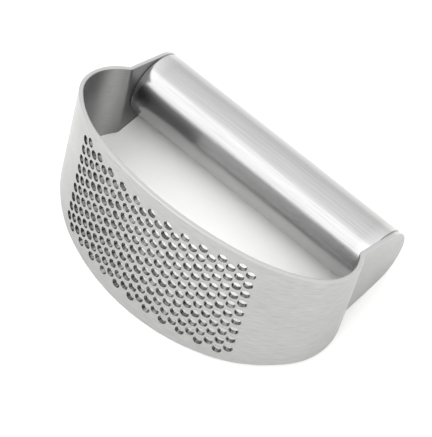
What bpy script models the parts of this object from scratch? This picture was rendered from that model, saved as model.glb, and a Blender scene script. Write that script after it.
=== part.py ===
"""Rocking garlic press.

One stainless strip, perforated in the middle and bent into a shallow rocker, curls up at both
ends into flat tabs. A tube handle is welded between the tabs. Everything is modelled with the
rocker at the bottom and the handle on top, then laid on its side, the way the press rests on a
table: on the bowed edge of the strip and on the handle.
"""
import math

import bmesh
import bpy
import numpy as np
from mathutils import Matrix, Vector

MM = 0.001

# Handle
HANDLE_DIAMETER = 19.0 * MM
HANDLE_WALL = 1.2 * MM
HANDLE_HEIGHT = 47.9 * MM        # the handle's axis above the rocker's outer face

# Strip
TAB_SPACING = 80.0 * MM          # between the inner faces of the two tabs
STRIP_THICKNESS = 1.25 * MM
STRIP_WIDTH = 43.7 * MM          # at mid length, where the strip is widest
EDGE_BOW_RADIUS = 187.0 * MM     # the long edges bow outwards at this radius, in the flat
ROCKER_RADIUS = 71.0 * MM        # outer face
SHOULDER_RADIUS = 40.0 * MM      # outer face, between the rocker and the corner
SHOULDER_TURN = math.radians(29)
CORNER_RADIUS = 16.0 * MM        # outer face
CORNER_TURN = math.radians(128)  # direction in which the corner ends; an upright tab is at 90
TAB_BEND_RADIUS = 1.0 * MM       # outer, hollow side of the bend into the tab

# Holes
HOLE_DIAMETER = 2.47 * MM
HOLE_PITCH_ACROSS = 3.61 * MM    # between the holes of one column
HOLE_WEB = 0.73 * MM             # metal left between neighbours in adjoining columns
HOLE_END_MARGIN = 14.0 * MM      # last column's centre to the start of the corner, at least
HOLE_EDGE_MARGIN = 3.0 * MM      # outermost hole's centre to the strip's edge, at least
CUTTER_OVERRUN = 1.0 * MM

# Welds
WELD_WIDTH = 0.6 * MM
WELD_RECESS = 0.1 * MM           # the weld is dressed this far below the handle's surface
FIT_GAP = 0.3 * MM               # between faces that touch

# Facets
HANDLE_SIDES = 48
ROCKER_FACETS = 8                # in each half
SHOULDER_FACETS = 8
CORNER_FACETS = 12
TAB_BEND_FACETS = 4
TAB_END_FACETS = 8
HOLE_SIDES = 8

# Sizes that follow
HANDLE_RADIUS = HANDLE_DIAMETER / 2
HALF_THICKNESS = STRIP_THICKNESS / 2
HALF_WIDTH = STRIP_WIDTH / 2
ROCKER_MID = ROCKER_RADIUS - HALF_THICKNESS
SHOULDER_MID = SHOULDER_RADIUS - HALF_THICKNESS
CORNER_MID = CORNER_RADIUS - HALF_THICKNESS
TAB_BEND_MID = TAB_BEND_RADIUS + HALF_THICKNESS
TAB_X = TAB_SPACING / 2 + HALF_THICKNESS       # the tab's middle plane
HOLE_PITCH_ALONG = math.sqrt((HOLE_DIAMETER + HOLE_WEB) ** 2 - (HOLE_PITCH_ACROSS / 2) ** 2)
HANDLE_LENGTH = TAB_SPACING - 2 * (WELD_WIDTH + 2 * FIT_GAP)


def outward(angle):
    """Outer normal of the strip where it has turned through this angle from flat."""
    return Vector((math.sin(angle), -math.cos(angle)))


class StripPath:
    """Middle line of the strip's right half in the XZ plane, from the rocker's middle outwards."""

    def __init__(self):
        self.rocker_turn = self.find_rocker_turn()
        self.shoulder_turn = self.rocker_turn + SHOULDER_TURN
        self.rocker_centre = Vector((0, ROCKER_RADIUS))
        self.shoulder_centre = self.rocker_centre + (
            ROCKER_MID - SHOULDER_MID) * outward(self.rocker_turn)
        self.corner_centre = self.shoulder_centre + (
            SHOULDER_MID - CORNER_MID) * outward(self.shoulder_turn)
        self.bend_centre = self.corner_centre + (CORNER_MID + TAB_BEND_MID) * outward(CORNER_TURN)
        self.tab_start = self.bend_centre - TAB_BEND_MID * outward(math.pi / 2)
        self.shoulder_at = ROCKER_MID * self.rocker_turn
        self.corner_at = self.shoulder_at + SHOULDER_MID * SHOULDER_TURN
        self.bend_at = self.corner_at + CORNER_MID * (CORNER_TURN - self.shoulder_turn)
        self.tab_at = self.bend_at + TAB_BEND_MID * (CORNER_TURN - math.pi / 2)
        self.handle_at = self.tab_at + HANDLE_HEIGHT - self.tab_start.y
        self.edge_slope = self.find_edge_slope()

    def find_rocker_turn(self):
        """Angle through which the rocker has to turn for the tab to stand at its place."""
        reach = TAB_X + TAB_BEND_MID - (CORNER_MID + TAB_BEND_MID) * math.sin(CORNER_TURN)
        along = ROCKER_MID - SHOULDER_MID + (SHOULDER_MID - CORNER_MID) * math.cos(SHOULDER_TURN)
        across = (SHOULDER_MID - CORNER_MID) * math.sin(SHOULDER_TURN)
        return math.asin(reach / math.hypot(along, across)) - math.atan2(across, along)

    def find_edge_slope(self):
        """Angle of the straight edge that touches both the bowed edge and the tab's round end."""
        along = self.handle_at
        across = EDGE_BOW_RADIUS - HALF_WIDTH
        return math.atan2(along, across) - math.acos(
            (EDGE_BOW_RADIUS - HANDLE_RADIUS) / math.hypot(along, across))

    def at(self, length):
        """Point on the middle line and outer normal at a length from the rocker's middle."""
        side = math.copysign(1, length)
        run = abs(length)
        if run <= self.shoulder_at:
            angle = run / ROCKER_MID
            point = self.rocker_centre + ROCKER_MID * outward(angle)
        elif run <= self.corner_at:
            angle = self.rocker_turn + (run - self.shoulder_at) / SHOULDER_MID
            point = self.shoulder_centre + SHOULDER_MID * outward(angle)
        elif run <= self.bend_at:
            angle = self.shoulder_turn + (run - self.corner_at) / CORNER_MID
            point = self.corner_centre + CORNER_MID * outward(angle)
        elif run < self.tab_at:
            angle = math.pi / 2 + (self.tab_at - run) / TAB_BEND_MID
            point = self.bend_centre - TAB_BEND_MID * outward(angle)
        else:
            angle = math.pi / 2
            point = self.tab_start + Vector((0, run - self.tab_at))
        normal = outward(angle)
        return Vector((side * point.x, point.y)), Vector((side * normal.x, normal.y))

    def half_width(self, length):
        """Half of the flat strip's width: bowed in the middle, then straight, then a round end."""
        run = abs(length)
        bow_end = EDGE_BOW_RADIUS * math.sin(self.edge_slope)
        round_start = self.handle_at + HANDLE_RADIUS * math.sin(self.edge_slope)
        if run <= bow_end:
            return HALF_WIDTH - EDGE_BOW_RADIUS + math.sqrt(EDGE_BOW_RADIUS ** 2 - run ** 2)
        if run <= round_start:
            rise = (self.handle_at - run) * math.tan(self.edge_slope)
            return rise + HANDLE_RADIUS / math.cos(self.edge_slope)
        return math.sqrt(max(HANDLE_RADIUS ** 2 - (run - self.handle_at) ** 2, 0))

    def stations(self):
        """Lengths at which the strip's facets meet, from the left tab's end to the right one's."""
        right = []
        for start, end, facets in ((0, self.shoulder_at, ROCKER_FACETS),
                                   (self.shoulder_at, self.corner_at, SHOULDER_FACETS),
                                   (self.corner_at, self.bend_at, CORNER_FACETS),
                                   (self.bend_at, self.tab_at, TAB_BEND_FACETS)):
            for step in range(1, facets + 1):
                right.append(start + (end - start) * step / facets)
        for step in range(TAB_END_FACETS + 1):
            angle = self.edge_slope + (math.pi / 2 - self.edge_slope) * step / TAB_END_FACETS
            right.append(self.handle_at + HANDLE_RADIUS * math.sin(angle))
        return [-length for length in reversed(right)] + [0.0] + right


def steel(name, colour, roughness):
    """Stainless steel with a plain colour."""
    material = bpy.data.materials.new(name)
    material.use_nodes = True
    shader = material.node_tree.nodes["Principled BSDF"]
    shader.inputs["Base Color"].default_value = (*colour, 1)
    shader.inputs["Metallic"].default_value = 1.0
    shader.inputs["Roughness"].default_value = roughness
    return material


def new_object(name, mesh_builder, material, parent):
    """Scene object from a bmesh, with outward faces and its own material."""
    bmesh.ops.recalc_face_normals(mesh_builder, faces=mesh_builder.faces)
    mesh = bpy.data.meshes.new(name)
    mesh_builder.to_mesh(mesh)
    mesh_builder.free()
    item = bpy.data.objects.new(name, mesh)
    bpy.context.scene.collection.objects.link(item)
    item.parent = parent
    if material:
        mesh.materials.append(material)
    return item


def strip_mesh(path):
    """The strip as a row of four-sided sections that close to a line at the two tab ends."""
    builder = bmesh.new()
    lengths = path.stations()
    sections = []
    for length in lengths:
        point, normal = path.at(length)
        half = path.half_width(length)
        if length in (lengths[0], lengths[-1]):
            corners = [(0, 1), (0, -1)]
        else:
            corners = [(-half, 1), (half, 1), (half, -1), (-half, -1)]
        section = []
        for across, side in corners:
            place = point + side * HALF_THICKNESS * normal
            section.append(builder.verts.new((place.x, across, place.y)))
        sections.append(section)
    for first, second in zip(sections, sections[1:]):
        if len(first) == 4 and len(second) == 4:
            for corner in range(4):
                after = (corner + 1) % 4
                builder.faces.new((first[corner], first[after], second[after], second[corner]))
        else:
            tip, wide = (first, second) if len(first) == 2 else (second, first)
            outer, inner = tip
            builder.faces.new((outer, wide[0], wide[1]))
            builder.faces.new((inner, wide[2], wide[3]))
            builder.faces.new((outer, wide[1], wide[2], inner))
            builder.faces.new((outer, inner, wide[3], wide[0]))
    return builder


def hole_places(path):
    """Length and across position of every hole: columns of staggered holes over the rocker."""
    last_column = int((path.corner_at - HOLE_END_MARGIN) / HOLE_PITCH_ALONG)
    room = path.half_width(last_column * HOLE_PITCH_ALONG) - HOLE_EDGE_MARGIN
    last_half_step = int(room / (HOLE_PITCH_ACROSS / 2))
    for column in range(-last_column, last_column + 1):
        for half_step in range(-last_half_step, last_half_step + 1):
            if (column + half_step) % 2:
                yield column * HOLE_PITCH_ALONG, half_step * HOLE_PITCH_ACROSS / 2


def hole_cutter_mesh(path):
    """One prism for each hole, square to the strip's surface."""
    builder = bmesh.new()
    depth = STRIP_THICKNESS + 2 * CUTTER_OVERRUN
    for length, across in hole_places(path):
        point, normal = path.at(length)
        tilt = Matrix.Rotation(math.atan2(normal.x, -normal.y), 4, "Y").inverted()
        place = Matrix.Translation((point.x, across, point.y)) @ tilt
        bmesh.ops.create_cone(
            builder, cap_ends=True, segments=HOLE_SIDES, depth=depth,
            radius1=HOLE_DIAMETER / 2, radius2=HOLE_DIAMETER / 2,
            matrix=place @ Matrix.Rotation(math.pi / HOLE_SIDES, 4, "Z"))
    return builder


def make_strip(path, parent):
    """The perforated, bent strip."""
    strip = new_object("rocker_strip", strip_mesh(path),
                       steel("brushed_strip", (0.62, 0.62, 0.61), 0.34), parent)
    cutter = new_object("hole_cutter", hole_cutter_mesh(path), None, parent)
    cutter.hide_render = True
    cutter.display_type = "WIRE"
    punch = strip.modifiers.new("holes", "BOOLEAN")
    punch.operation = "DIFFERENCE"
    punch.object = cutter


def make_pipe(name, outer, start_x, end_x, material, parent):
    """A round pipe along X on the handle's axis, with the handle tube's bore."""
    builder = bmesh.new()
    bore = HANDLE_RADIUS - HANDLE_WALL
    loops = []
    for radius, x in ((outer, start_x), (outer, end_x), (bore, end_x), (bore, start_x)):
        loop = []
        for side in range(HANDLE_SIDES):
            angle = 2 * math.pi * side / HANDLE_SIDES
            loop.append(builder.verts.new(
                (x, radius * math.cos(angle), HANDLE_HEIGHT + radius * math.sin(angle))))
        loops.append(loop)
    for first, second in zip(loops, loops[1:] + loops[:1]):
        for side in range(HANDLE_SIDES):
            after = (side + 1) % HANDLE_SIDES
            builder.faces.new((first[side], first[after], second[after], second[side]))
    pipe = new_object(name, builder, material, parent)
    pipe.data.shade_smooth()
    pipe.data.set_sharp_from_angle(angle=math.radians(40))


def make_handle(parent):
    """The hollow handle, open at both ends towards the tabs."""
    make_pipe("handle_tube", HANDLE_RADIUS, -HANDLE_LENGTH / 2, HANDLE_LENGTH / 2,
              steel("satin_tube", (0.68, 0.68, 0.67), 0.28), parent)


def make_welds(parent):
    """The ring of weld metal between each end of the handle and its tab."""
    tab_side = TAB_SPACING / 2 - FIT_GAP
    for name, side in (("left_weld_ring", -1), ("right_weld_ring", 1)):
        make_pipe(name, HANDLE_RADIUS - WELD_RECESS, side * tab_side, side * (tab_side - WELD_WIDTH),
                  steel(name + "_steel", (0.5, 0.5, 0.49), 0.45), parent)


def lay_down(lying):
    """Turn the model about X on to the strip's inner edge and the handle, and centre its base."""
    across = HALF_WIDTH
    up = HANDLE_HEIGHT - STRIP_THICKNESS
    lean = math.acos(HANDLE_RADIUS / math.hypot(across, up)) - math.atan2(up, across)
    lying.rotation_euler = (-math.pi / 2 - lean, 0, 0)
    bpy.context.view_layer.update()
    graph = bpy.context.evaluated_depsgraph_get()
    corners = []
    for item in lying.children:
        if not item.hide_render:
            mesh = item.evaluated_get(graph).to_mesh()
            corners.extend(tuple(item.matrix_world @ vertex.co) for vertex in mesh.vertices)
    low = np.min(corners, axis=0)
    high = np.max(corners, axis=0)
    lying.location = (-(low[0] + high[0]) / 2, -(low[1] + high[1]) / 2, -low[2])
    bpy.context.view_layer.update()


def main():
    for item in list(bpy.data.objects):
        bpy.data.objects.remove(item, do_unlink=True)
    lying = bpy.data.objects.new("lying_pose", None)
    bpy.context.scene.collection.objects.link(lying)
    path = StripPath()
    make_strip(path, lying)
    make_handle(lying)
    make_welds(lying)
    lay_down(lying)


main()
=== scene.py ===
"""Looks of the rocking garlic press: finely made steel strip and handle, studio and camera.

The strip is drawn flat, as a length along it and a distance across it, and then bent along its
own path and laid on its side."""
import math

import bpy
import numpy as np
from mathutils import Matrix, Vector
from mathutils.geometry import delaunay_2d_cdt


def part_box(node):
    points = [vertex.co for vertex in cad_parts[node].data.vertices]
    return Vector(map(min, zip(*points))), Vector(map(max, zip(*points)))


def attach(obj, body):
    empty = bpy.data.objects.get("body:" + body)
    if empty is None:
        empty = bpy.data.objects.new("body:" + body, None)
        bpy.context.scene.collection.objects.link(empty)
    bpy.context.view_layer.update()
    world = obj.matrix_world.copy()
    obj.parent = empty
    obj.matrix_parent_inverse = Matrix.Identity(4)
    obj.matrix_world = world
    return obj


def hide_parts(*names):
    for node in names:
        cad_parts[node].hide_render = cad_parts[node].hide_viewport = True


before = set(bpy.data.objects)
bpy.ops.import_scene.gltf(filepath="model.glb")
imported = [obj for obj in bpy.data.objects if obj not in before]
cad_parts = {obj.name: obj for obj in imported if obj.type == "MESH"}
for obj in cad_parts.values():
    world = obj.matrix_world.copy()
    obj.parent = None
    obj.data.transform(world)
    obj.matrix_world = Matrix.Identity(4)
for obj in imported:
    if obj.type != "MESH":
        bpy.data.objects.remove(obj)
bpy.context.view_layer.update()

MM = 0.001
BODY = "root"

# The strip's own sizes, as in the CAD model
STRIP_THICKNESS = 1.25 * MM
STRIP_WIDTH = 43.7 * MM
EDGE_BOW_RADIUS = 187.0 * MM
ROCKER_RADIUS = 71.0 * MM
SHOULDER_RADIUS = 40.0 * MM
SHOULDER_TURN = math.radians(29)
CORNER_RADIUS = 16.0 * MM
CORNER_TURN = math.radians(128)
TAB_BEND_RADIUS = 1.0 * MM
HANDLE_HEIGHT = 47.9 * MM
HANDLE_WALL = 1.2 * MM
HOLE_DIAMETER = 2.47 * MM
HOLE_PITCH_ACROSS = 3.61 * MM
HOLE_WEB = 0.73 * MM
HOLE_END_MARGIN = 14.0 * MM
HOLE_EDGE_MARGIN = 3.0 * MM
FIT_GAP = 0.3 * MM

# How the fine surfaces are cut
STRIP_EDGE_ROUND = 0.20 * MM     # the strip's long edges are tumbled smooth
STRIP_EDGE_STEPS = 4
HOLE_EDGE_ROUND = 0.10 * MM      # the punched edges are only just broken
HOLE_EDGE_STEPS = 2
HOLE_SIDES = 24
ROCKER_STEP = 1.2 * MM
SHOULDER_STEP = 1.0 * MM
CORNER_STEP = 0.6 * MM
TAB_STEP = 1.5 * MM
TAB_BEND_STEPS = 8
ROUND_END_STEPS = 16
ACROSS_STEP = 1.3 * MM
EDGE_CLEARANCE = ACROSS_STEP / 2  # no surface point lies nearer than this to the edge's round
HOLE_CLEARANCE = 0.22 * MM       # no surface point lies nearer than this to a hole's edge
LEAST_TRIANGLE = 1e-3 * MM * MM  # thinner slivers lie along the straight edge, outside the strip
SAME_POINT = 1e-6                # mm, nearer points are one

GRAIN_MAP = "across_grain"       # UV map whose first direction lies across the brushing
UV_SPAN = 200.0 * MM

# Handle
HANDLE_SIDES = 144
HANDLE_STEP = 4.0 * MM
HANDLE_END_ROUND = 0.12 * MM
HANDLE_END_STEPS = 3
BORE_CHAMFER = 0.05 * MM         # the tube's inner edges are deburred
SEAM_WIDTH = 0.3 * MM            # the weld's line that still shows once it is dressed

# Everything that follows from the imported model
handle_low, handle_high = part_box("handle_tube")
weld_low, weld_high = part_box("right_weld_ring")
HANDLE_RADIUS = (handle_high.z - handle_low.z) / 2
HANDLE_CENTRE = (handle_low + handle_high) / 2
TAB_INNER_X = weld_high.x + FIT_GAP
WELD_RADIUS = (weld_high.z - weld_low.z) / 2
BORE_RADIUS = HANDLE_RADIUS - HANDLE_WALL

HALF_THICKNESS = STRIP_THICKNESS / 2
HALF_WIDTH = STRIP_WIDTH / 2
ROCKER_MID = ROCKER_RADIUS - HALF_THICKNESS
SHOULDER_MID = SHOULDER_RADIUS - HALF_THICKNESS
CORNER_MID = CORNER_RADIUS - HALF_THICKNESS
TAB_BEND_MID = TAB_BEND_RADIUS + HALF_THICKNESS
TAB_X = TAB_INNER_X + HALF_THICKNESS
HOLE_RADIUS = HOLE_DIAMETER / 2
HOLE_PITCH_ALONG = math.sqrt((HOLE_DIAMETER + HOLE_WEB) ** 2 - (HOLE_PITCH_ACROSS / 2) ** 2)


# ---------------------------------------------------------------- the strip's path and outline

def outward(angle):
    """Outer normals (x, z) of the strip where it has turned through these angles from flat."""
    return np.stack([np.sin(angle), -np.cos(angle)], -1)


def rocker_turn():
    """Angle through which the rocker has to turn for the tab to stand at its place."""
    reach = TAB_X + TAB_BEND_MID - (CORNER_MID + TAB_BEND_MID) * math.sin(CORNER_TURN)
    along = ROCKER_MID - SHOULDER_MID + (SHOULDER_MID - CORNER_MID) * math.cos(SHOULDER_TURN)
    across = (SHOULDER_MID - CORNER_MID) * math.sin(SHOULDER_TURN)
    return math.asin(reach / math.hypot(along, across)) - math.atan2(across, along)


ROCKER_TURN = rocker_turn()
CORNER_START_TURN = ROCKER_TURN + SHOULDER_TURN
ROCKER_CENTRE = np.array([0, ROCKER_RADIUS])
SHOULDER_CENTRE = ROCKER_CENTRE + (ROCKER_MID - SHOULDER_MID) * outward(ROCKER_TURN)
CORNER_CENTRE = SHOULDER_CENTRE + (SHOULDER_MID - CORNER_MID) * outward(CORNER_START_TURN)
BEND_CENTRE = CORNER_CENTRE + (CORNER_MID + TAB_BEND_MID) * outward(CORNER_TURN)
TAB_START = BEND_CENTRE - TAB_BEND_MID * outward(math.pi / 2)
ROCKER_END = ROCKER_MID * ROCKER_TURN
SHOULDER_END = ROCKER_END + SHOULDER_MID * SHOULDER_TURN
CORNER_END = SHOULDER_END + CORNER_MID * (CORNER_TURN - CORNER_START_TURN)
BEND_END = CORNER_END + TAB_BEND_MID * (CORNER_TURN - math.pi / 2)
HANDLE_AT = BEND_END + HANDLE_HEIGHT - TAB_START[1]
EDGE_SLOPE = math.atan2(HANDLE_AT, EDGE_BOW_RADIUS - HALF_WIDTH) - math.acos(
    (EDGE_BOW_RADIUS - HANDLE_RADIUS) / math.hypot(HANDLE_AT, EDGE_BOW_RADIUS - HALF_WIDTH))
BOW_END = EDGE_BOW_RADIUS * math.sin(EDGE_SLOPE)
ROUND_START = HANDLE_AT + HANDLE_RADIUS * math.sin(EDGE_SLOPE)


def strip_line(length):
    """Middle line (x, z), outer normal and tangent of the strip at these lengths from its middle."""
    side = np.where(length < 0, -1.0, 1.0)
    run = np.abs(length)
    rocker_angle = run / ROCKER_MID
    shoulder_angle = ROCKER_TURN + (run - ROCKER_END) / SHOULDER_MID
    corner_angle = CORNER_START_TURN + (run - SHOULDER_END) / CORNER_MID
    bend_angle = math.pi / 2 + (BEND_END - run) / TAB_BEND_MID
    stretches = [run <= ROCKER_END, run <= SHOULDER_END, run <= CORNER_END, run < BEND_END]
    angle = np.select(stretches, [rocker_angle, shoulder_angle, corner_angle, bend_angle],
                      math.pi / 2)
    normal = outward(angle)
    upright = TAB_START + np.stack([0 * run, run - BEND_END], -1)
    point = np.select([stretch[:, None] for stretch in stretches], [
        ROCKER_CENTRE + ROCKER_MID * normal, SHOULDER_CENTRE + SHOULDER_MID * normal,
        CORNER_CENTRE + CORNER_MID * normal, BEND_CENTRE - TAB_BEND_MID * normal], upright)
    tangent = np.stack([np.cos(angle), side * np.sin(angle)], -1)
    point[:, 0] *= side
    normal[:, 0] *= side
    return point, normal, tangent


def half_width(length):
    """Half of the flat strip's width at these lengths: bowed, then straight, then a round end."""
    run = np.abs(length)
    bow = HALF_WIDTH - EDGE_BOW_RADIUS + np.sqrt(np.maximum(EDGE_BOW_RADIUS ** 2 - run ** 2, 0))
    taper = (HANDLE_AT - run) * math.tan(EDGE_SLOPE) + HANDLE_RADIUS / math.cos(EDGE_SLOPE)
    end = np.sqrt(np.maximum(HANDLE_RADIUS ** 2 - (run - HANDLE_AT) ** 2, 0))
    return np.select([run <= BOW_END, run <= ROUND_START], [bow, taper], end)


def spaced(start, end, step):
    """Even steps from start up to, and without, end."""
    return np.linspace(start, end, max(1, round((end - start) / step)), endpoint=False)


def right_lengths():
    """Lengths over the right half at which the surface is cut across, up to the round end."""
    bend_step = (BEND_END - CORNER_END) / TAB_BEND_STEPS
    return np.concatenate([
        spaced(0, ROCKER_END, ROCKER_STEP), spaced(ROCKER_END, SHOULDER_END, SHOULDER_STEP),
        spaced(SHOULDER_END, CORNER_END, CORNER_STEP),
        spaced(CORNER_END, BEND_END, bend_step), spaced(BEND_END, ROUND_START, TAB_STEP)])


def strip_outline():
    """The flat strip's edge as a closed loop of points with their outward directions."""
    run = right_lengths()
    turn = np.where(run <= BOW_END, np.arcsin(run / EDGE_BOW_RADIUS), EDGE_SLOPE)
    side_points = np.stack([run, half_width(run)], -1)
    side_ways = np.stack([np.sin(turn), np.cos(turn)], -1)
    turn = np.linspace(EDGE_SLOPE, math.pi / 2, ROUND_END_STEPS)
    end_ways = np.stack([np.sin(turn), np.cos(turn)], -1)
    end_points = np.array([HANDLE_AT, 0]) + HANDLE_RADIUS * end_ways
    quarter = np.concatenate([side_points, end_points])
    quarter_ways = np.concatenate([side_ways, end_ways])
    loops = []
    for line in (quarter, quarter_ways):
        upper_right = line
        lower_right = line[::-1][1:] * [1, -1]
        lower_left = line[1:] * [-1, -1]
        upper_left = line[::-1][1:-1] * [-1, 1]
        loops.append(np.concatenate([upper_right, lower_right, lower_left, upper_left]))
    return loops


def hole_centres():
    """Centres of the staggered holes on the flat strip."""
    last_column = int((SHOULDER_END - HOLE_END_MARGIN) / HOLE_PITCH_ALONG)
    room = half_width(np.array([last_column * HOLE_PITCH_ALONG]))[0] - HOLE_EDGE_MARGIN
    last_half_step = int(room / (HOLE_PITCH_ACROSS / 2))
    centres = []
    for column in range(-last_column, last_column + 1):
        for half_step in range(-last_half_step, last_half_step + 1):
            if (column + half_step) % 2:
                centres.append((column * HOLE_PITCH_ALONG, half_step * HOLE_PITCH_ACROSS / 2))
    return np.array(centres)


# ---------------------------------------------------------------- meshes

def smooth_mesh(name, points, normals, faces, grain, edge, bore):
    """Mesh object with exact normals. grain holds each point's place along and across the
    brushing, edge is 1 on the rounded outer edges, and bore is 1 on the walls of the holes."""
    mesh = bpy.data.meshes.new(name)
    mesh.from_pydata(points.tolist(), [], faces)
    mesh.shade_smooth()
    mesh.normals_split_custom_set_from_vertices(normals.tolist())
    place = mesh.attributes.new("grain_mm", "FLOAT_VECTOR", "POINT")
    place.data.foreach_set("vector", (grain / MM).astype(np.float32).ravel())
    for kind, values in (("edge", edge), ("bore", bore)):
        mesh.attributes.new(kind, "FLOAT", "POINT").data.foreach_set(
            "value", values.astype(np.float32))
    corners = np.array([loop.vertex_index for loop in mesh.loops])
    across_first = (grain[corners][:, [1, 0]] / UV_SPAN).astype(np.float32)
    mesh.uv_layers.new(name=GRAIN_MAP).data.foreach_set("uv", across_first.ravel())
    item = bpy.data.objects.new(name, mesh)
    bpy.context.scene.collection.objects.link(item)
    return item


def lying_pose():
    """The turn and the shift that lay the press on the strip's inner edge and the handle."""
    up = HANDLE_HEIGHT - STRIP_THICKNESS
    lean = math.acos(HANDLE_RADIUS / math.hypot(HALF_WIDTH, up)) - math.atan2(up, HALF_WIDTH)
    turn = Matrix.Rotation(-math.pi / 2 - lean, 3, "X")
    shift = HANDLE_CENTRE - turn @ Vector((0, 0, HANDLE_HEIGHT))
    return np.array(turn), np.array(shift)


def edge_rounding(radius, steps):
    """Steps over a rounded edge, from the outer face to the inner one: how far in from the edge,
    how high above the middle, and the share of the normal that points out of the edge."""
    quarter = np.linspace(0, math.pi / 2, steps + 1)
    inset = radius * (1 - np.sin(quarter))
    height = HALF_THICKNESS - radius * (1 - np.cos(quarter))
    return (np.concatenate([inset, inset[::-1]]), np.concatenate([height, -height[::-1]]),
            np.concatenate([np.sin(quarter), np.sin(quarter[::-1])]),
            np.concatenate([np.cos(quarter), -np.cos(quarter[::-1])]))


def surface_points(holes):
    """Points inside the flat strip, in rows across it, clear of the holes and the edge."""
    rows = right_lengths()
    rows = np.concatenate([-rows[:0:-1], rows, [-HANDLE_AT, HANDLE_AT]])
    points = []
    for row in rows:
        reach = half_width(np.array([row]))[0] - STRIP_EDGE_ROUND - EDGE_CLEARANCE
        count = max(1, round(2 * reach / ACROSS_STEP))
        for across in np.linspace(-reach, reach, count):
            gap = np.hypot(holes[:, 0] - row, holes[:, 1] - across).min()
            if gap > HOLE_RADIUS + HOLE_EDGE_ROUND + HOLE_CLEARANCE:
                points.append((row, across))
    return np.array(points)


def make_strip():
    """The bent strip with its round holes and rounded edges."""
    outline, outline_ways = strip_outline()
    holes = hole_centres()
    angle = np.arange(HOLE_SIDES) * 2 * math.pi / HOLE_SIDES
    ring = np.stack([np.cos(angle), np.sin(angle)], -1)
    edges = [(outline, outline_ways, STRIP_EDGE_ROUND, STRIP_EDGE_STEPS)]
    for centre in holes:
        edges.append((centre + HOLE_RADIUS * ring, -ring, HOLE_EDGE_ROUND, HOLE_EDGE_STEPS))

    # the flat face between the rounded edges, as triangles
    face_loops = [loop - radius * ways for loop, ways, radius, steps in edges]
    inner = surface_points(holes)
    flat = np.concatenate(face_loops + [inner])
    bounds = []
    first = 0
    for loop in face_loops:
        for index in range(len(loop)):
            bounds.append((first + index, first + (index + 1) % len(loop)))
        first += len(loop)
    found, _, triangles, origins, _, _ = delaunay_2d_cdt(
        [Vector(point / MM) for point in flat], bounds, [], 0, SAME_POINT)
    found = np.array([tuple(point) for point in found]) * MM
    own_index = {origin: new for new, several in enumerate(origins) for origin in several}
    kept = []
    for triangle in triangles:
        middle = found[list(triangle)].mean(0)
        (ax, ay), (bx, by), (cx, cy) = found[list(triangle)]
        area = 0.5 * abs((bx - ax) * (cy - ay) - (by - ay) * (cx - ax))
        in_metal = np.hypot(*(holes - middle).T).min() > HOLE_RADIUS + HOLE_EDGE_ROUND
        if in_metal and area > LEAST_TRIANGLE:
            kept.append(tuple(reversed(triangle)))

    # both faces, then the rounded edges between them
    places = [found, found]
    heights = [np.full(len(found), HALF_THICKNESS), np.full(len(found), -HALF_THICKNESS)]
    ways = [np.zeros_like(found)] * 2
    ups = [np.ones(len(found)), -np.ones(len(found))]
    edge = [np.zeros(2 * len(found))]
    bore = [np.zeros(2 * len(found))]
    faces = list(kept) + [tuple(index + len(found) for index in reversed(face)) for face in kept]
    total = 2 * len(found)
    first = 0
    for loop, loop_ways, radius, steps in edges:
        count = len(loop)
        is_bore = float(loop is not outline)
        face_row = [own_index[first + index] for index in range(count)]
        rows = [face_row]
        inset, height, out_share, up_share = edge_rounding(radius, steps)
        for step in range(1, len(inset) - 1):
            places.append(loop - inset[step] * loop_ways)
            heights.append(np.full(count, height[step]))
            ways.append(loop_ways * out_share[step])
            ups.append(np.full(count, up_share[step]))
            edge.append(np.full(count, 1 - is_bore))
            bore.append(np.full(count, is_bore))
            rows.append(range(total, total + count))
            total += count
        rows.append([index + len(found) for index in face_row])
        for upper, lower in zip(rows, rows[1:]):
            for index in range(count):
                after = (index + 1) % count
                faces.append((upper[index], lower[index], lower[after], upper[after]))
        first += count

    place = np.concatenate(places)
    height = np.concatenate(heights)[:, None]
    way = np.concatenate(ways)
    up = np.concatenate(ups)[:, None]
    line, normal, tangent = strip_line(place[:, 0])
    section = line + height * normal
    standing = np.stack([section[:, 0], place[:, 1], section[:, 1]], -1)
    lean = up * normal + way[:, :1] * tangent
    normals = np.stack([lean[:, 0], way[:, 1], lean[:, 1]], -1)
    turn, shift = lying_pose()
    grain = np.concatenate([place, height], 1)
    return smooth_mesh("fine_rocker_strip", standing @ turn.T + shift, normals @ turn.T,
                       faces, grain, np.concatenate(edge), np.concatenate(bore))


def turned_ring(name, profile, profile_normals, profile_wear):
    """A round piece on the handle's axis, from a closed profile of (x, radius) points."""
    angle = np.arange(HANDLE_SIDES) * 2 * math.pi / HANDLE_SIDES
    around = np.stack([0 * angle, np.cos(angle), np.sin(angle)], -1)
    points = profile[:, None, :1] * [1, 0, 0] + profile[:, None, 1:] * around
    normals = profile_normals[:, None, :1] * [1, 0, 0] + profile_normals[:, None, 1:] * around
    grain = np.stack(np.broadcast_arrays(
        profile[:, None, 0], angle * HANDLE_RADIUS, profile[:, None, 1]), -1)
    faces = []
    rows = len(profile)
    for row in range(rows):
        below = (row + 1) % rows
        for index in range(HANDLE_SIDES):
            after = (index + 1) % HANDLE_SIDES
            faces.append((row * HANDLE_SIDES + index, row * HANDLE_SIDES + after,
                          below * HANDLE_SIDES + after, below * HANDLE_SIDES + index))
    wear = np.repeat(profile_wear, HANDLE_SIDES)
    return smooth_mesh(name, points.reshape(-1, 3) + np.array(HANDLE_CENTRE),
                       normals.reshape(-1, 3), faces, grain.reshape(-1, 3), wear, 0 * wear)


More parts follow.
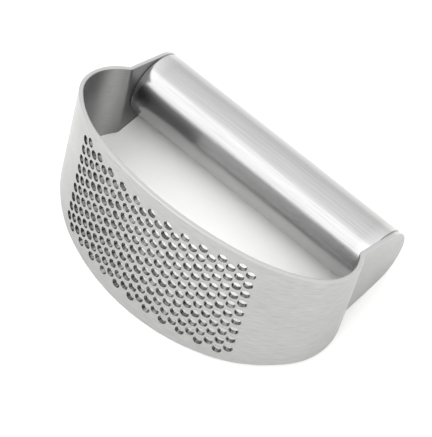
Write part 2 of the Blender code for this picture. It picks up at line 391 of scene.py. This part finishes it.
def ring_profile(start, end, outer):
    """Half section of a pipe with the handle's bore, from start to end along X, going round it
    once: points, normals and edge wear. Its outer edges are rounded, and its inner ones cut."""
    quarter = np.linspace(0, math.pi / 2, HANDLE_END_STEPS + 1)
    left = np.stack([start + HANDLE_END_ROUND * (1 - np.cos(quarter)),
                     outer - HANDLE_END_ROUND * (1 - np.sin(quarter))], -1)
    left_normals = np.stack([-np.cos(quarter), np.sin(quarter)], -1)
    back = quarter[::-1]
    right = np.stack([end - HANDLE_END_ROUND * (1 - np.cos(back)),
                      outer - HANDLE_END_ROUND * (1 - np.sin(back))], -1)
    right_normals = np.stack([np.cos(back), np.sin(back)], -1)
    along = np.linspace(start + HANDLE_END_ROUND, end - HANDLE_END_ROUND,
                        max(2, round((end - start) / HANDLE_STEP)) + 1)[1:-1]
    top = np.stack([along, np.full(len(along), outer)], -1)
    top_normals = np.tile([0.0, 1.0], (len(along), 1))
    bore_points = np.array([
        (end, BORE_RADIUS + BORE_CHAMFER), (end - BORE_CHAMFER, BORE_RADIUS),
        (start + BORE_CHAMFER, BORE_RADIUS), (start, BORE_RADIUS + BORE_CHAMFER)])
    bore_normals = np.array([(1.0, 0.0), (0.0, -1.0), (0.0, -1.0), (-1.0, 0.0)])
    points = np.concatenate([left, top, right, bore_points])
    normals = np.concatenate([left_normals, top_normals, right_normals, bore_normals])
    wear = np.concatenate([np.ones(len(left)), np.zeros(len(top)), np.ones(len(right)),
                           np.zeros(len(bore_points))])
    return points, normals, wear


def make_handle():
    """The handle tube, with its ends just broken."""
    end = TAB_INNER_X - SEAM_WIDTH
    points, normals, wear = ring_profile(-end, end, HANDLE_RADIUS)
    return turned_ring("fine_handle_tube", points, normals, wear)


def make_weld(name, tab_face):
    """The dressed weld between the tube's end and the tab, a little under the tube's surface."""
    tube_end = math.copysign(TAB_INNER_X - SEAM_WIDTH, tab_face)
    start, end = sorted((tube_end, tab_face))
    points, normals, wear = ring_profile(start, end, WELD_RADIUS)
    return turned_ring(name, points, normals, wear)


# ---------------------------------------------------------------- materials

# Sizes of a finish are in mm: along the brushing, across it, and through the sheet.

# The belt's lines. Lines of a real belt are nearer 0.1 mm apart and too fine to show, so each
# finish gives its own coarser ones.
LINE_DETAIL = 3.0
LINE_ROUGHNESS = 0.6

# Uneven pressure on the belt leaves cloudy patches, which differ only in how dull they are.
CLOUD_SIZE = (26.0, 9.0, 9.0)
CLOUD_DETAIL = 2.0
CLOUD_RANGE = (0.3, 0.7)         # where nearly all of the noise lies

# The walls of the holes: painted shade, a dark tone, with random patches of painted glints, all of
# it shiny.
BORE_SHADE_AND_GLINT_TONES = ("#525252", "#8E8E8E")
BORE_ROUGHNESS = 0.15
GLINT_PATCH_SIZE = 1.2
GLINT_PATCH_DETAIL = 1.0
GLINT_PATCH_RANGE = (0.4, 0.65)        # below it the wall gets the dark painted shade, and above it the bright painted glint

# The strip's inner face gets painted shade, a darker tone, except for a band in each curl
# that keeps the lighter brushed tone and stands in for a reflection.
INNER_PAINTED_SHADE_TONE = "#888888"
INNER_DEPTH = (-0.3, -0.6)       # from the sheet's middle, where it starts and where it is full
REFLECTION_BAND_AT = 61.5                   # the band's middle, along the strip from its own middle
REFLECTION_BAND_REACH = 6.0                 # from there to where the painted shade is full again

# Matt white paper with hardly any gloss, in soft waves about 22 mm long.
PAPER_TONE = "#FAFAF9"
PAPER_ROUGHNESS = 0.9
PAPER_GLOSS = 0.2
PAPER_WAVES = 900.0              # over the floor's whole side
PAPER_WAVE_DETAIL = 2.0
PAPER_WAVE_DEPTH = 0.05
PAPER_WAVE_STRENGTH = 0.1


def linear(hex_colour):
    """Linear RGBA from an sRGB hex colour."""
    channels = [int(hex_colour[index:index + 2], 16) / 255 for index in (1, 3, 5)]
    low_end, slope, offset, power = 0.04045, 12.92, 0.055, 2.4
    out = [c / slope if c <= low_end else ((c + offset) / (1 + offset)) ** power
           for c in channels]
    return (*out, 1.0)


def add_node(material, kind, settings=(), inputs=()):
    """New node with its settings and its inputs: a value, or another node's output socket."""
    tree = material.node_tree
    node = tree.nodes.new(kind)
    for key, value in dict(settings).items():
        setattr(node, key, value)
    for key, value in dict(inputs).items():
        if isinstance(value, bpy.types.NodeSocket):
            tree.links.new(value, node.inputs[key])
        else:
            node.inputs[key].default_value = value
    return node


def new_material(name):
    """Empty material and its shader."""
    material = bpy.data.materials.new(name)
    material.use_nodes = True
    return material, material.node_tree.nodes["Principled BSDF"]


def inner_painted_shade(material, place):
    """Share of painted shade: full on the strip's inner face, fading out towards the lighter band
    in each curl that stands in for a reflection, and none on the outer face."""
    split = add_node(material, "ShaderNodeSeparateXYZ", {}, {"Vector": place.outputs["Vector"]})
    run = add_node(material, "ShaderNodeMath", {"operation": "ABSOLUTE"}, {
        0: split.outputs["X"]})
    from_band = add_node(material, "ShaderNodeMath", {"operation": "SUBTRACT"}, {
        0: run.outputs[0], 1: REFLECTION_BAND_AT})
    off_band = add_node(material, "ShaderNodeMath", {"operation": "ABSOLUTE"}, {
        0: from_band.outputs[0]})
    # Share of painted shade by distance from the lighter band.
    dull = add_node(material, "ShaderNodeMapRange", {"interpolation_type": "SMOOTHSTEP"}, {
        "Value": off_band.outputs[0], "From Min": 0.0, "From Max": REFLECTION_BAND_REACH,
        "To Min": 0.0, "To Max": 1.0})
    inside = add_node(material, "ShaderNodeMapRange", {}, {
        "Value": split.outputs["Z"], "From Min": INNER_DEPTH[0], "From Max": INNER_DEPTH[1]})
    both = add_node(material, "ShaderNodeMath", {"operation": "MULTIPLY"}, {
        0: dull.outputs["Result"], 1: inside.outputs["Result"]})
    return both.outputs[0]


def brushed_stainless(name, tones, worn, roughness, grain_size, grain_depth, spread):
    """Stainless steel finished with an abrasive belt. The eye sees long fine lines from the
    darker to the lighter of its tones, and highlights that spread across them, by spread from
    0 to 1. The tumbled edges are evener and brighter. The walls of the holes get painted shade,
    a dark tone, with random patches of painted glints. The strip's inner face gets painted shade,
    except for a lighter band in each curl that stands in for a reflection. grain_size and
    grain_depth, in mm, are the lines' own."""
    material, shader = new_material(name)
    place = add_node(material, "ShaderNodeAttribute", {"attribute_name": "grain_mm"})
    edge = add_node(material, "ShaderNodeAttribute", {"attribute_name": "edge"})
    bore = add_node(material, "ShaderNodeAttribute", {"attribute_name": "bore"})
    stretch = add_node(material, "ShaderNodeVectorMath", {"operation": "DIVIDE"}, {
        0: place.outputs["Vector"], 1: grain_size})
    lines = add_node(material, "ShaderNodeTexNoise", {}, {
        "Vector": stretch.outputs[0], "Scale": 1.0, "Detail": LINE_DETAIL,
        "Roughness": LINE_ROUGHNESS})
    cloud_place = add_node(material, "ShaderNodeVectorMath", {"operation": "DIVIDE"}, {
        0: place.outputs["Vector"], 1: CLOUD_SIZE})
    clouds = add_node(material, "ShaderNodeTexNoise", {}, {
        "Vector": cloud_place.outputs[0], "Scale": 1.0, "Detail": CLOUD_DETAIL})
    tone = add_node(material, "ShaderNodeMix", {"data_type": "RGBA"}, {
        "Factor": lines.outputs["Fac"], "A": linear(tones[0]), "B": linear(tones[1])})
    worn_tone = add_node(material, "ShaderNodeMix", {"data_type": "RGBA"}, {
        "Factor": edge.outputs["Fac"], "A": tone.outputs["Result"], "B": linear(worn)})
    # Painted shade on the strip's inner face, left out in a band in each curl that stands in for a
    # reflection.
    painted_shade_share = inner_painted_shade(material, place)
    shaded_inner_tone = add_node(material, "ShaderNodeMix", {"data_type": "RGBA"}, {
        "Factor": painted_shade_share, "A": worn_tone.outputs["Result"], "B": linear(INNER_PAINTED_SHADE_TONE)})
    # Walls of the holes: painted shade, with random patches of painted glints.
    glint_patches = add_node(material, "ShaderNodeTexNoise", {}, {
        "Vector": place.outputs["Vector"], "Scale": 1 / GLINT_PATCH_SIZE, "Detail": GLINT_PATCH_DETAIL})
    painted_glint_share = add_node(material, "ShaderNodeMapRange", {}, {
        "Value": glint_patches.outputs["Fac"], "From Min": GLINT_PATCH_RANGE[0],
        "From Max": GLINT_PATCH_RANGE[1]})
    bore_shade_and_glints = add_node(material, "ShaderNodeMix", {"data_type": "RGBA"}, {
        "Factor": painted_glint_share.outputs["Result"], "A": linear(BORE_SHADE_AND_GLINT_TONES[0]),
        "B": linear(BORE_SHADE_AND_GLINT_TONES[1])})
    final_tone = add_node(material, "ShaderNodeMix", {"data_type": "RGBA"}, {
        "Factor": bore.outputs["Fac"], "A": shaded_inner_tone.outputs["Result"],
        "B": bore_shade_and_glints.outputs["Result"]})
    material.node_tree.links.new(final_tone.outputs["Result"], shader.inputs["Base Color"])
    dull = add_node(material, "ShaderNodeMapRange", {}, {
        "Value": clouds.outputs["Fac"], "From Min": CLOUD_RANGE[0], "From Max": CLOUD_RANGE[1],
        "To Min": roughness[0], "To Max": roughness[1]})
    final_dull = add_node(material, "ShaderNodeMix", {"data_type": "FLOAT"}, {
        "Factor": bore.outputs["Fac"], "A": dull.outputs["Result"], "B": BORE_ROUGHNESS})
    material.node_tree.links.new(final_dull.outputs["Result"], shader.inputs["Roughness"])
    bump = add_node(material, "ShaderNodeBump", {}, {
        "Height": lines.outputs["Fac"], "Strength": 1.0, "Distance": grain_depth * MM})
    material.node_tree.links.new(bump.outputs["Normal"], shader.inputs["Normal"])
    across = add_node(material, "ShaderNodeTangent", {
        "direction_type": "UV_MAP", "uv_map": GRAIN_MAP})
    material.node_tree.links.new(across.outputs["Tangent"], shader.inputs["Tangent"])
    shader.inputs["Anisotropic"].default_value = spread
    shader.inputs["Metallic"].default_value = 1.0
    return material


def studio_paper():
    """White studio paper, which gives the eye a plain pale ground with a soft shadow."""
    material, shader = new_material("studio_paper")
    waves = add_node(material, "ShaderNodeTexNoise", {}, {
        "Scale": PAPER_WAVES, "Detail": PAPER_WAVE_DETAIL})
    bump = add_node(material, "ShaderNodeBump", {}, {
        "Height": waves.outputs["Fac"], "Strength": PAPER_WAVE_STRENGTH,
        "Distance": PAPER_WAVE_DEPTH * MM})
    material.node_tree.links.new(bump.outputs["Normal"], shader.inputs["Normal"])
    shader.inputs["Base Color"].default_value = linear(PAPER_TONE)
    shader.inputs["Roughness"].default_value = PAPER_ROUGHNESS
    shader.inputs["Specular IOR Level"].default_value = PAPER_GLOSS
    return material


# ---------------------------------------------------------------- the object

# Stainless sheet, brushed along its length: short strong lines and broad soft highlights.
strip_steel = brushed_stainless(
    "brushed_strip_steel", tones=("#8D8D8C", "#BDBDBC"), worn="#B5B5B5", roughness=(0.27, 0.35),
    grain_size=(4.0, 0.32, 0.32), grain_depth=0.004, spread=0.8)

# Drawn stainless tube, satin polished: long faint lines and clearer stripes of light and dark.
tube_steel = brushed_stainless(
    "satin_tube_steel", tones=("#9A9A9A", "#B2B2B2"), worn="#B5B5B5", roughness=(0.19, 0.25),
    grain_size=(16.0, 0.45, 0.45), grain_depth=0.002, spread=0.5)

# Weld metal, ground back by hand: darker and duller, with no direction to its scratches.
weld_steel = brushed_stainless(
    "dressed_weld_steel", tones=("#7C7C7A", "#959592"), worn="#959592", roughness=(0.40, 0.50),
    grain_size=(1.5, 0.8, 0.8), grain_depth=0.01, spread=0.0)

pieces = [
    (make_strip(), "rocker_strip", "brushed_strip", strip_steel),
    (make_handle(), "handle_tube", "satin_tube", tube_steel),
    (make_weld("fine_left_weld_ring", -TAB_INNER_X), "left_weld_ring",
     "weld_metal", weld_steel),
    (make_weld("fine_right_weld_ring", TAB_INNER_X), "right_weld_ring",
     "weld_metal", weld_steel),
]
for piece, node, slot_name, finish in pieces:
    piece.data.materials.append(finish)
    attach(piece, BODY)
    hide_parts(node)


# ---------------------------------------------------------------- studio

FLOOR_SIZE = 20.0
AIM = Vector((0.00357, -0.00109, 0.0150))
CAMERA_AZIMUTH = math.radians(41.19)
CAMERA_ELEVATION = math.radians(58.86)
CAMERA_ROLL = math.radians(2.44)
CAMERA_DISTANCE = 0.5575
CAMERA_LENS = 178.07
WORLD_TONE = "#F9F9F9"


def direction(azimuth, elevation):
    """Unit vector towards something seen at this azimuth and elevation."""
    return Vector((math.sin(azimuth) * math.cos(elevation),
                   -math.cos(azimuth) * math.cos(elevation), math.sin(elevation)))


def add_floor():
    """Level floor at the height on which the press lies."""
    half = FLOOR_SIZE / 2
    mesh = bpy.data.meshes.new("floor")
    mesh.from_pydata([(-half, -half, 0), (half, -half, 0), (half, half, 0), (-half, half, 0)],
                     [], [(0, 1, 2, 3)])
    floor = bpy.data.objects.new("floor", mesh)
    floor.data.materials.append(studio_paper())
    bpy.context.scene.collection.objects.link(floor)


def add_softbox(name, azimuth, elevation, distance, width, height, watts):
    """Oblong lamp that faces the press from this azimuth and elevation, in degrees."""
    lamp = bpy.data.lights.new(name, "AREA")
    lamp.shape = "RECTANGLE"
    lamp.size = width
    lamp.size_y = height
    lamp.energy = watts
    box = bpy.data.objects.new(name, lamp)
    way = direction(math.radians(azimuth), math.radians(elevation))
    box.location = way * distance
    box.rotation_euler = way.to_track_quat("Z", "Y").to_euler()
    bpy.context.scene.collection.objects.link(box)


def add_camera():
    """The scene's own camera."""
    camera = bpy.data.objects.new("camera", bpy.data.cameras.new("camera"))
    way = direction(CAMERA_AZIMUTH, CAMERA_ELEVATION)
    camera.location = AIM + way * CAMERA_DISTANCE
    turn = way.to_track_quat("Z", "Y").to_matrix()
    camera.rotation_euler = (turn @ Matrix.Rotation(CAMERA_ROLL, 3, "Z")).to_euler()
    camera.data.lens = CAMERA_LENS
    bpy.context.scene.collection.objects.link(camera)
    bpy.context.scene.camera = camera


def add_world(low, high):
    """White studio walls and ceiling: brightness low at the floor's level and high overhead."""
    world = bpy.data.worlds.new("studio")
    world.use_nodes = True
    place = add_node(world, "ShaderNodeTexCoord")
    split = add_node(world, "ShaderNodeSeparateXYZ", {}, {"Vector": place.outputs["Generated"]})
    rise = add_node(world, "ShaderNodeMapRange", {}, {
        "Value": split.outputs["Z"], "To Min": low, "To Max": high})
    background = world.node_tree.nodes["Background"]
    background.inputs["Color"].default_value = linear(WORLD_TONE)
    world.node_tree.links.new(rise.outputs["Result"], background.inputs["Strength"])
    bpy.context.scene.world = world


add_floor()
add_softbox("overhead_softbox", azimuth=-38, elevation=55, distance=1.2, width=1.2, height=1.0,
            watts=3.4)
add_world(low=1.25, high=1.82)
add_camera()
bpy.context.scene.view_settings.view_transform = "Standard"
